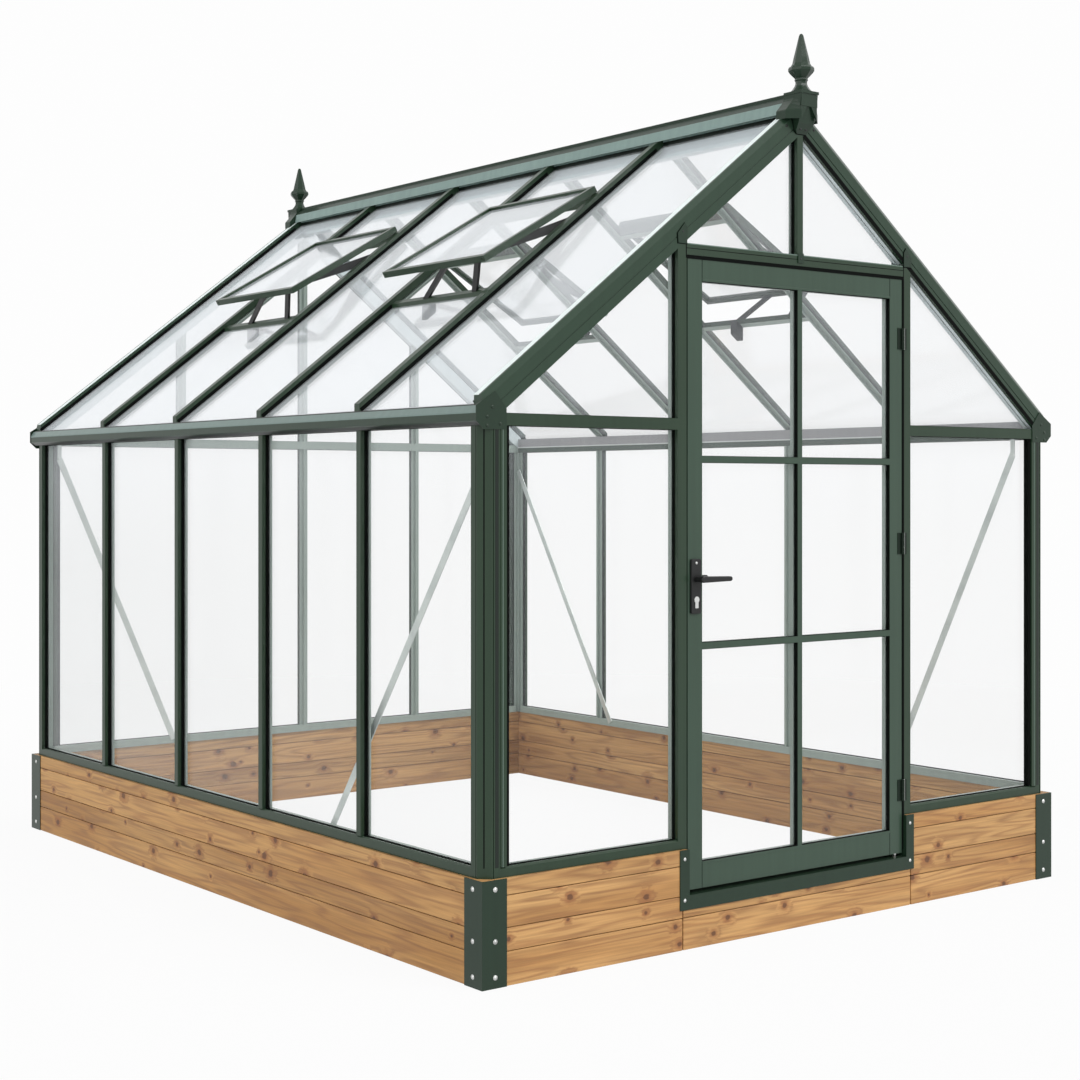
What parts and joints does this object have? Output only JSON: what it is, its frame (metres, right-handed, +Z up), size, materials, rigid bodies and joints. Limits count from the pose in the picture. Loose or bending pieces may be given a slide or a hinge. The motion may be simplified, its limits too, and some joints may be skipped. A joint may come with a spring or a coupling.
{
  "type": "metal greenhouse",
  "caption": "Gable-roofed metal-framed greenhouse on a timber plinth, with a glazed hinged door, open roof vents and ridge finials.",
  "frame": {"origin": "middle of the building's footprint at ground level", "axes": "X across the gables, Y along the ridge from the door gable (-Y) to the back gable (+Y), Z up"},
  "size_m": [2.572, 3.272, 2.875],
  "materials": {
    "timber": "clear-stained softwood",
    "green_frame": "satin powder coat",
    "green_metalwork": "satin powder coat",
    "clear_glass": "clear",
    "brace_metal": "mill finish",
    "hinge_metal": "satin",
    "black_metal": "satin black",
    "lock_metal": "satin"
  },
  "bodies": {
    "greenhouse": {"plinth_sides": "timber", "plinth_back": "timber", "plinth_front": "timber", "door_step": "timber", "plinth_angles": "green_metalwork", "door_sill": "green_metalwork", "corner_posts": "green_frame", "base_rails": "green_frame", "wall_bars": "green_frame", "back_bars": "green_frame", "door_posts": "green_frame", "door_header": "green_frame", "peak_mullion": "green_frame", "front_transoms": "green_frame", "back_transoms": "green_frame", "left_rafters": "green_frame", "right_rafters": "green_frame", "eaves_beams": "green_frame", "gutters": "green_frame", "eaves_end_plates": "green_frame", "ridge": "green_frame", "ridge_finials": "green_frame", "roof_bars": "green_frame", "vent_crossbars": "green_frame", "vent_stiles": "green_frame", "vent_rails": "green_frame", "vent_glass": "clear_glass", "vent_openers": "black_metal", "left_wall_glass": "clear_glass", "right_wall_glass": "clear_glass", "back_gable_glass": "clear_glass", "front_gable_glass": "clear_glass", "left_roof_glass": "clear_glass", "right_roof_glass": "clear_glass", "wind_braces": "brace_metal", "post_hinges": "hinge_metal"},
    "door": {"door_stiles": "green_frame", "door_rails": "green_frame", "door_upright_bar": "green_frame", "door_cross_bars": "green_frame", "door_glass": "clear_glass", "leaf_hinges": "hinge_metal", "handle_plates": "black_metal", "lock_cylinder": "lock_metal"},
    "lever": {"lever_handles": "black_metal"}
  },
  "joints": [
    {"name": "door_hinge", "type": "hinge", "parent": "greenhouse", "child": "door", "pos_m": [0.486, -1.594, 1.15], "axis": [0, 0, 1], "range_deg": [0, 105]},
    {"name": "lever_turn", "type": "hinge", "parent": "door", "child": "lever", "pos_m": [-0.456, -1.5705, 1.131], "axis": [0, 1, 0], "range_deg": [0, 40], "stiffness_Nm_per_rad": 1.2, "springref_deg": -28.65}
  ]
}
